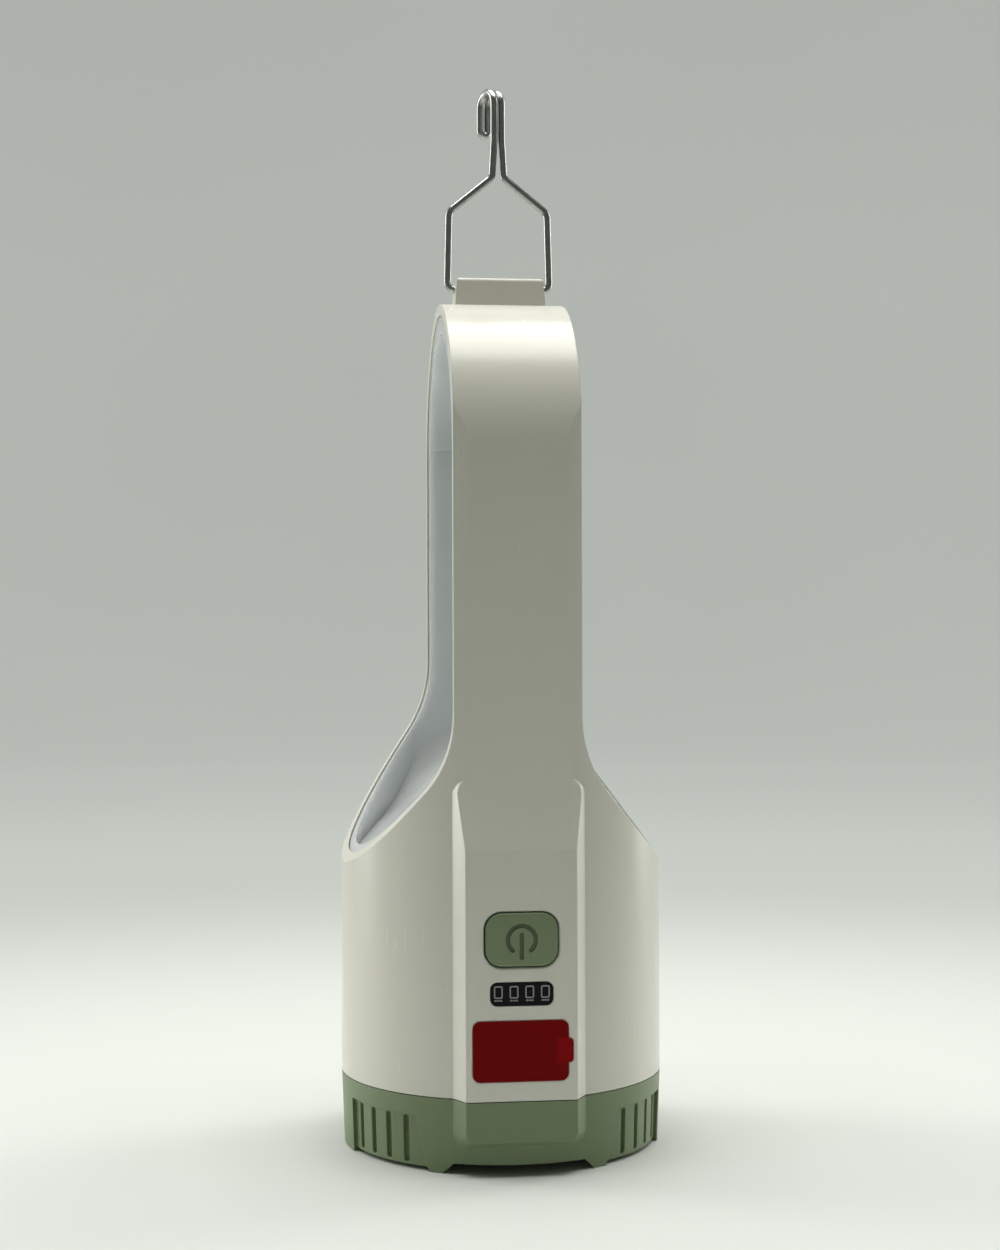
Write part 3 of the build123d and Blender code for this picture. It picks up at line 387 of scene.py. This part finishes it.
liner_grey, _, _, _ = moulded("Diffuser grey", (0.66, 0.685, 0.69), roughness=0.13, drift=0.03,
                              gloss_drift=0.05, depth=0.0, peel=0.000008, radius=0.0002,
                              edge_highlight_and_wear_tint=(0.75, 0.77, 0.78), edge=0.3, dust=0.3, specks=0.4,
                              scuffs=0.6, Coat_Weight=0.3, Coat_Roughness=0.06,
                              Subsurface_Weight=0.5, Subsurface_Scale=0.006,
                              Subsurface_Radius=(1.0, 1.0, 1.0))
dress(liner_grey, "handle_liner")
cover_rubber, _, _, _ = moulded("Cover rubber", (0.17, 0.225, 0.115), roughness=0.55, drift=0.1,
                                grain=1800.0, depth=0.00002, edge=0.3,
                                edge_highlight_and_wear_tint=(0.33, 0.38, 0.26), dust=0.6)
dress(cover_rubber, "port_cover")
black_plastic, _, _, _ = moulded("Black holder", (0.02, 0.02, 0.021), roughness=0.45, drift=0.3,
                                 depth=0.00001, edge_highlight_and_wear_tint=(0.08, 0.08, 0.08))
dress(black_plastic, "cell_bracket_left", "cell_bracket_right", "switch_plunger")
gasket_black, _, _, _ = moulded("Gasket silicone", (0.012, 0.012, 0.013), roughness=0.6,
                                drift=0.3, grain=1500.0, depth=0.000015, edge=0.1, dust=0.7)
dress(gasket_black, "lens_gasket")
guide_clear, _, _, _ = moulded("Light guide", (0.78, 0.80, 0.80), roughness=0.15, depth=0.0,
                               peel=0.000004, Transmission_Weight=0.5, IOR=1.49)
dress(guide_clear, "light_guide")
print("plastics dressed")

# %% [markdown]
# ## The power button
# The key is the base's green, with a power symbol sunk into its face. Less light reaches the
# sunk lines, so their colour is painted darker as painted shade, deepened with the depth below
# the face, read from the Y coordinate.

# %% Button green with painted shade in its sunk symbol
SUNK_FROM, SUNK_FULL = 0.0001, 0.00035          # metres below the face
SUNK_SHADE_COLOUR = (0.035, 0.052, 0.02, 1.0)
button_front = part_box("power_button")[0].y
button_green, tree, shader, colour = moulded("Button green", (0.20, 0.26, 0.14), roughness=0.36,
                                             drift=0.1, grain=2600.0, depth=0.000008,
                                             radius=0.00025, edge_highlight_and_wear_tint=SAGE_EDGE_HIGHLIGHT_AND_WEAR,
                                             edge=0.35, dust=0.2)
place = put(tree, "TexCoord").outputs["Object"]
depth = put(tree, "SeparateXYZ", None, Vector=place).outputs["Y"]
sunk_shade = spread(tree, depth, button_front + SUNK_FROM, button_front + SUNK_FULL)
# Painted shade: colour below the face is mixed towards the dark shade colour.
tree.links.new(blend_colours(tree, maths(tree, "MULTIPLY", sunk_shade, 0.62), colour, SUNK_SHADE_COLOUR),
               shader.inputs["Base Color"])
dress(button_green, "power_button")
print("button face at y", round(button_front, 5))

# %% [markdown]
# ## Window and badge
# The charge window is smoked black plastic, and the badge beside it is a deep red glossy
# plate in the outline of a battery. The badge's terminal is a brighter red, so a soft
# rectangle around it is mixed in, worked out from the badge's own box.

# %% Smoked window
# The edge tint is lighter than the smoked black, so its edges get a painted highlight, partly
# wear.
smoked, _, _, _ = moulded("Smoked window", (0.006, 0.006, 0.007), roughness=0.12, drift=0.4,
                          depth=0.0, peel=0.000003, radius=0.0002, edge_highlight_and_wear_tint=(0.05, 0.05, 0.05),
                          edge=0.2, dust=0.0, scuffs=0.2, Specular_IOR_Level=0.1)
dress(smoked, "indicator_window")

# %% Badge red
TERMINAL_LONG, TERMINAL_EDGE = 0.0046, 0.001    # metres in from the right end
TERMINAL_HALF, TERMINAL_CORE = 0.0034, 0.0028   # half heights
low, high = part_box("battery_badge")
badge_mid = (low.z + high.z) / 2
# The pale pink edge tint paints a highlight round the badge's rim, partly wear.
badge_red, tree, shader, colour = moulded("Badge red", (0.20, 0.001, 0.002), roughness=0.15,
                                          drift=0.08, depth=0.0, peel=0.000005, radius=0.0002,
                                          edge_highlight_and_wear_tint=(0.75, 0.30, 0.28), edge=0.55, dust=0.0,
                                          scuffs=0.2, Specular_IOR_Level=0.05)
xyz = put(tree, "SeparateXYZ", None, Vector=put(tree, "TexCoord").outputs["Object"])
along = spread(tree, xyz.outputs["X"], high.x - TERMINAL_LONG,
               high.x - TERMINAL_LONG + TERMINAL_EDGE)
across = maths(tree, "ABSOLUTE", maths(tree, "SUBTRACT", xyz.outputs["Z"], badge_mid))
terminal = maths(tree, "MULTIPLY", along, spread(tree, across, TERMINAL_HALF, TERMINAL_CORE))
tree.links.new(blend_colours(tree, maths(tree, "MULTIPLY", terminal, 0.85), colour,
                             (0.30, 0.002, 0.004, 1.0)), shader.inputs["Base Color"])
dress(badge_red, "battery_badge")
print("badge from", tuple(round(v, 4) for v in low), "to", tuple(round(v, 4) for v in high))

# %% [markdown]
# ## Metal pieces
# The hook is drawn spring wire, bright with darker streaks. The screws are zinc plated, the
# searchlight's bowl is metallised plastic, and the plates inside are rolled aluminium.

# %% The metal recipe
def metal(name, colour, roughness, stretch=(1.0, 1.0, 0.03), lines=5000.0, depth=0.000002,
          radius=0.0001, tarnish=0.5, dark=0.35, **constants):
    """Colour = the metal's own, darkened in stained patches and lighter on worn edges."""
    material, tree, shader = start_material(name, Metallic=1.0, **constants)
    soft = place_group(tree, edges_group, Radius=radius)
    tool = place_group(tree, lines_group, Stretch=stretch, Lines_per_metre=lines, Depth=depth,
                       Roughness=roughness, Normal=soft.outputs["Normal"])
    stained = blend_colours(tree, maths(tree, "MULTIPLY", tool.outputs["Tarnish"], tarnish),
                            (*colour, 1.0), (*[c * dark for c in colour], 1.0))
    lighter_edges = blend_colours(tree, maths(tree, "MULTIPLY", soft.outputs["Edge"], 0.3), stained,
                         (*[min(1.0, c * 1.3) for c in colour], 1.0))
    tree.links.new(lighter_edges, shader.inputs["Base Color"])
    tree.links.new(tool.outputs["Roughness"], shader.inputs["Roughness"])
    tree.links.new(tool.outputs["Normal"], shader.inputs["Normal"])
    return material


dress(metal("Hook steel", (0.44, 0.44, 0.425), 0.24, tarnish=0.35), "hook_wire")
dress(metal("Zinc screw", (0.56, 0.57, 0.58), 0.3, stretch=(1, 1, 1), lines=900.0),
      "knuckle_screw", "shell_screws", "base_screws", "board_screws")
dress(metal("Bright bowl", (0.86, 0.87, 0.88), 0.06, stretch=(0.05, 0.05, 1.0), lines=1500.0,
            depth=0.0000008, tarnish=0.08), "reflector")
dress(metal("Rolled plate", (0.72, 0.73, 0.74), 0.32, stretch=(0.03, 1.0, 1.0), lines=4000.0),
      "heat_plate")
dress(metal("Tinned shell", (0.62, 0.62, 0.60), 0.28, stretch=(1.0, 0.04, 1.0)), "usb_socket",
      "tact_switch")
dress(metal("Nickel strip", (0.66, 0.62, 0.56), 0.25, stretch=(1.0, 0.04, 0.04)), "nickel_strips")
print("metals dressed")

# %% [markdown]
# ## Lens
# The searchlight looks down through a flat clear disc. Real clear plastic is glass-like with
# a faint tint and a few fine scratches in its gloss.

# %% Clear lens
clear, tree, shader = start_material("Clear lens", Transmission_Weight=1.0, IOR=1.49,
                                     Metallic=0.0)
soft = place_group(tree, edges_group, Radius=0.0002)
skin = place_group(tree, skin_group, Colour=(0.93, 0.96, 0.95, 1.0), Drift=0.02, Roughness=0.03,
                   Roughness_drift=0.05, Grain_depth=0.0, Peel_depth=0.000002,
                   Normal=soft.outputs["Normal"])
marks = place_group(tree, marks_group, Dust=0.0, Specks=0.0, Scuffs=1.0)
tree.links.new(skin.outputs["Colour"], shader.inputs["Base Color"])
tree.links.new(maths(tree, "ADD", skin.outputs["Roughness"],
                     maths(tree, "MULTIPLY", marks.outputs["Scuffs"], 0.2)),
               shader.inputs["Roughness"])
tree.links.new(skin.outputs["Normal"], shader.inputs["Normal"])
dress(clear, "lens")

# %% [markdown]
# ## Inside
# Opening the model shows cells, boards and diodes, so they get finishes too. A board is
# green lacquer over a pattern of copper tracks, which is noise cut into squares. A cell's
# sleeve is glossy shrink film, and its ends are bare steel, told apart by the distance from
# the cell's middle along X.

# %% Boards with tracks
# Like every moulded piece, the boards, diodes and sleeves get a lighter edge line from the edge
# mask: painted highlight, partly wear.
board, tree, shader, colour = moulded("Board green", (0.012, 0.07, 0.03), roughness=0.3,
                                      drift=0.15, depth=0.0, peel=0.000004)
place = put(tree, "TexCoord").outputs["Object"]
tracks = put(tree, "TexBrick", {"offset": 0.35}, Vector=place, Scale=420.0, Mortar_Size=0.035)
tree.links.new(blend_colours(tree, maths(tree, "MULTIPLY", tracks.outputs["Fac"], 0.6), colour,
                             (0.05, 0.18, 0.06, 1.0)), shader.inputs["Base Color"])
dress(board, "main_board", "charge_board")
mask_white, _, _, _ = moulded("White solder mask", (0.74, 0.74, 0.70), roughness=0.35, depth=0.0)
dress(mask_white, "emitter_board", "led_strip")

# %% Diodes
phosphor, _, _, _ = moulded("Diode phosphor", (0.82, 0.62, 0.12), roughness=0.4, grain=9000.0,
                            depth=0.00001, drift=0.2)
dress(phosphor, "emitter", "strip_leds", "indicator_leds")

# %% Cell sleeves
sleeve, tree, shader, colour = moulded("Cell sleeve", (0.03, 0.10, 0.26), roughness=0.22,
                                       drift=0.1, depth=0.0, peel=0.00001)
low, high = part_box("battery_cell_1")
CAP, CAP_EDGE = 0.0009, 0.0012                  # the bare end, and where the sleeve starts
place = put(tree, "TexCoord").outputs["Object"]
x = put(tree, "SeparateXYZ", None, Vector=place).outputs["X"]
end = spread(tree, maths(tree, "ABSOLUTE", x), high.x - CAP_EDGE, high.x - CAP)
tree.links.new(blend_colours(tree, end, colour, (0.6, 0.6, 0.58, 1.0)),
               shader.inputs["Base Color"])
tree.links.new(end, shader.inputs["Metallic"])
dress(sleeve, "battery_cell_1", "battery_cell_2", "battery_cell_3", "battery_cell_4")
undressed = [name for name, node in nodes.items()
             if not node.data.materials or "CAD" in node.data.materials[0].name]
print("inside dressed, nodes left without a finish:", undressed)

# %% [markdown]
# ## Marks on the charge window
# Four little cell outlines are printed on the window, each with a row of short ticks under it.
# A line of ink is very thin, but a flat strip would flicker on the window's face, so each
# outline is a thin raised band: a small rectangular profile carried round a rounded rectangle.

# %% A band carried round a rounded rectangle
def rounded_path(width, height, corner, steps=6):
    """Points round a rounded rectangle: each corner's centre plus the corner radius times
    (cos t, sin t), with t a quarter turn per corner. Returns points and outward directions."""
    t = (np.arange(4)[:, None] + np.linspace(0, 1, steps)[None, :]).ravel() * pi / 2
    quarter = np.repeat(np.arange(4), steps)
    sign_x = np.array([1, -1, -1, 1])[quarter]
    sign_z = np.array([1, 1, -1, -1])[quarter]
    out = np.stack([np.cos(t), np.sin(t)], 1)
    centre = np.stack([sign_x * (width / 2 - corner), sign_z * (height / 2 - corner)], 1)
    return centre + corner * out, out


def band_ring(width, height, corner, line, thickness, x, z, y):
    """Grid of points (path step, profile step): path point plus outward times half the line,
    at the face or raised by the thickness towards the front. Returns vertices and faces."""
    path, out = rounded_path(width, height, corner)
    side = np.array([-1, 1, 1, -1]) * line / 2
    rise = np.array([0, 0, 1, 1]) * thickness
    flat = path[:, None, :] + out[:, None, :] * side[None, :, None]
    grid = np.stack([flat[..., 0] + x, np.broadcast_to(y - rise, flat.shape[:2]),
                     flat[..., 1] + z], -1)
    return grid_faces(grid)


def grid_faces(grid):
    """Quads between neighbours of a grid that closes in both directions."""
    rows, columns = grid.shape[:2]
    i, j = np.meshgrid(np.arange(rows), np.arange(columns), indexing="ij")

    def step(a, b):
        return (((i + a) % rows) * columns + (j + b) % columns).ravel()

    faces = np.stack([step(0, 0), step(0, 1), step(1, 1), step(1, 0)], 1)
    return grid.reshape(-1, 3), faces


def make_piece(name, parts, material, body):
    """One object from several (vertices, faces) pairs, with normals pointing outwards."""
    offset, points, faces = 0, [], []
    for vertices, quads in parts:
        points.append(vertices)
        faces.append(quads + offset)
        offset += len(vertices)
    mesh = bpy.data.meshes.new(name)
    mesh.from_pydata(np.concatenate(points).tolist(), [], np.concatenate(faces).tolist())
    mesh.validate()
    piece = bpy.data.objects.new(name, mesh)
    bpy.context.scene.collection.objects.link(piece)
    mesh.materials.append(material)
    b = bmesh.new()
    b.from_mesh(mesh)
    bmesh.ops.recalc_face_normals(b, faces=b.faces)
    b.to_mesh(mesh)
    b.free()
    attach(piece, body)
    return piece


# %% Four outlines and their ticks
INK = 0.00003                   # how proud the ink stands
CELL_PITCH, TICK_PITCH = 0.00396, 0.0007
OUTLINE = {"width": 0.0019, "height": 0.0028, "corner": 0.0003, "line": 0.00034}
TICK = {"width": 0.00042, "height": 0.00024, "corner": 0.0001, "line": 0.00018}
OUTLINE_RISE, TICK_DROP = 0.0005, 0.0016        # from the window's middle
low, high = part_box("indicator_window")
window_x, window_z, window_y = (low.x + high.x) / 2, (low.z + high.z) / 2, low.y
ink, _, _, _ = moulded("Grey ink", (0.34, 0.35, 0.35), roughness=0.5, drift=0.3, grain=6000.0,
                       depth=0.000006, dust=0.0, edge=0.0)
parts = []
for k in range(4):
    x = window_x + (k - 1.5) * CELL_PITCH
    parts.append(band_ring(**OUTLINE, thickness=INK, x=x, z=window_z + OUTLINE_RISE, y=window_y))
    for tick in (-1, 0, 1):
        parts.append(band_ring(**TICK, thickness=INK, x=x + tick * TICK_PITCH,
                               z=window_z - TICK_DROP, y=window_y))
cells_print = make_piece("window_marks", parts, ink, "housing")
print("marks", len(cells_print.data.polygons), "faces")

# %% [markdown]
# ## Studio
# The lantern stands in the middle of a round room of pale paper whose floor curves up into
# its wall, so no view shows a hard horizon. One flat plane would do for the front, but the
# lantern is looked at from all sides. The wall glows gently, more at the back than at the
# front, which leaves the front faces in calm grey. Seen from behind, the paper is clear, so
# the lantern's underside can be looked at through the floor.

# %% Floor and wall turned about the lantern's axis
FLOOR, CURVE, HEIGHT = 1.5, 0.6, 2.6            # metres


def round_room(floor, curve, height, around=96, steps=24):
    """A profile turned about Z. Profile: out along the floor, a quarter circle of radius curve,
    then up to the height. The floor's middle is one point shared by a fan of triangles."""
    t = np.linspace(0, pi / 2, steps)
    r = np.concatenate([[0.3, 0.8], floor + curve * np.sin(t), [floor + curve]])
    z = np.concatenate([[0.0, 0.0], curve - curve * np.cos(t), [height]])
    turn = np.arange(around) * 2 * pi / around
    grid = np.stack([np.outer(np.cos(turn), r), np.outer(np.sin(turn), r),
                     np.broadcast_to(z, (around, len(z)))], -1)
    n = len(r)
    i, j = np.meshgrid(np.arange(around), np.arange(n - 1), indexing="ij")
    k = (i + 1) % around
    quads = np.stack([i * n + j, i * n + j + 1, k * n + j + 1, k * n + j], -1).reshape(-1, 4)
    middle = around * n
    spokes = np.arange(around)
    fan = np.stack([np.full(around, middle), spokes * n, (spokes + 1) % around * n], 1)
    return np.concatenate([grid.reshape(-1, 3), [[0, 0, 0]]]), quads, fan


vertices, quads, fan = round_room(FLOOR, CURVE, HEIGHT)
mesh = bpy.data.meshes.new("studio_room")
mesh.from_pydata(vertices.tolist(), [], quads.tolist() + fan.tolist())
for face in mesh.polygons:
    face.use_smooth = True
studio = bpy.data.objects.new("studio_room", mesh)
bpy.context.scene.collection.objects.link(studio)
print("room", len(mesh.polygons), "faces")

# %% Paper colour painted as a pool of light on the floor, fading to painted shade on the wall
BRIGHT_TO, GREY_FROM = 0.16, 0.62               # metres from the lantern's foot
FRONT_Y, BACK_Y = -0.7, 0.9                     # the glow grows between these
LIT_FLOOR_COLOUR, SHADED_WALL_COLOUR = (0.68, 0.70, 0.67, 1.0), (0.22, 0.235, 0.22, 1.0)
NO_GLOW, FRONT_GLOW = (0.0, 0.0, 0.0, 1.0), (0.045, 0.048, 0.045, 1.0)
BACK_GLOW, BACK_GLOW_LIGHT = (0.34, 0.36, 0.335, 1.0), (0.37, 0.39, 0.365, 1.0)
# Painted light: the paper's colour itself is bright on the floor round the lantern and grey on the
# wall, a painted pool of light fading to painted shade.
paper, tree, shader = start_material("Studio paper", Roughness=0.6, Emission_Strength=1.0)
place = put(tree, "TexCoord").outputs["Object"]
distance = put(tree, "VectorMath", {"operation": "LENGTH"}, _0=place).outputs["Value"]
light_falloff = put(tree, "MapRange", {"interpolation_type": "SMOOTHSTEP"}, Value=distance,
           From_Min=BRIGHT_TO, From_Max=GREY_FROM).outputs[0]
mottle = put(tree, "TexNoise", None, Vector=place, Scale=2.0, Detail=4.0).outputs[0]
depth = put(tree, "SeparateXYZ", None, Vector=place).outputs["Y"]
back = put(tree, "MapRange", {"interpolation_type": "SMOOTHSTEP"}, Value=depth,
           From_Min=FRONT_Y, From_Max=BACK_Y).outputs[0]
glow = blend_colours(tree, back, FRONT_GLOW,
                     blend_colours(tree, mottle, BACK_GLOW, BACK_GLOW_LIGHT))
tree.links.new(blend_colours(tree, light_falloff, LIT_FLOOR_COLOUR, SHADED_WALL_COLOUR), shader.inputs["Base Color"])
tree.links.new(blend_colours(tree, light_falloff, NO_GLOW, glow), shader.inputs["Emission Color"])
print("paper bright to", BRIGHT_TO, "grey from", GREY_FROM)

# %% Clear from behind
see_through = put(tree, "BsdfTransparent").outputs[0]
behind = put(tree, "NewGeometry").outputs["Backfacing"]
seen = put(tree, "MixShader", None, _0=behind)
tree.links.new(shader.outputs[0], seen.inputs[1])
tree.links.new(see_through, seen.inputs[2])
tree.links.new(seen.outputs[0], tree.nodes["Material Output"].inputs["Surface"])
mesh.materials.append(paper)
print("paper on", studio.name)

# %% [markdown]
# ## Lights
# A large soft light hangs overhead and makes the top of the arch the brightest part. Two tall
# ones stand behind on either side, so the round edges are lifted while the front stays grey.
# A weak pale sky fills whatever the room leaves dark.

# %% Lights
SKY, SKY_STRENGTH = (0.80, 0.83, 0.80, 1.0), 0.15
LAMP_COLOUR = (1.0, 1.0, 0.97)


def area_light(name, place, aim, size, power):
    """A rectangular lamp of that size in metres and power in watts, turned to face the aim."""
    light = bpy.data.lights.new(name, "AREA")
    light.shape, light.size, light.size_y = "RECTANGLE", *size
    light.energy, light.color = power, LAMP_COLOUR
    lamp = bpy.data.objects.new(name, light)
    lamp.location = place
    lamp.rotation_euler = (Vector(aim) - Vector(place)).to_track_quat("-Z", "Y").to_euler()
    bpy.context.scene.collection.objects.link(lamp)


area_light("above", (0.0, 0.05, 1.0), (0.0, 0.0, 0.0), (0.9, 0.6), 10.3)
area_light("left", (-0.8, 0.34, 0.36), (0.0, 0.0, 0.12), (0.3, 0.8), 3.35)
area_light("right", (0.8, 0.34, 0.36), (0.0, 0.0, 0.12), (0.3, 0.8), 3.15)
world = bpy.data.worlds.new("studio_air")
world.use_nodes = True
world.node_tree.nodes["Background"].inputs["Color"].default_value = SKY
world.node_tree.nodes["Background"].inputs["Strength"].default_value = SKY_STRENGTH
bpy.context.scene.world = world
bpy.context.scene.view_settings.view_transform = "Standard"

# %% [markdown]
# ## Camera
# The camera stands in front of the lantern, seven degrees to the left, level with the middle
# of its height, and looks through a moderately long lens.

# %% Camera
AZIMUTH, ELEVATION, ROLL = radians(-6.878), radians(-0.081), radians(-0.196)
TARGET, DISTANCE = Vector((0.00018, 0.0, 0.138385)), 0.560
LENS, SENSOR = 59.36, 36.0                      # millimetres
camera_data = bpy.data.cameras.new("portrait")
camera_data.lens, camera_data.sensor_width = LENS, SENSOR
camera = bpy.data.objects.new("portrait", camera_data)
away = Vector((sin(AZIMUTH) * cos(ELEVATION), -cos(AZIMUTH) * cos(ELEVATION), sin(ELEVATION)))
camera.location = TARGET + away * DISTANCE
look = (-away).to_track_quat("-Z", "Y").to_matrix()
camera.rotation_euler = (look @ Matrix.Rotation(ROLL, 3, "Z")).to_euler()
bpy.context.scene.collection.objects.link(camera)
bpy.context.scene.camera = camera
print("camera at", tuple(round(v, 4) for v in camera.location))
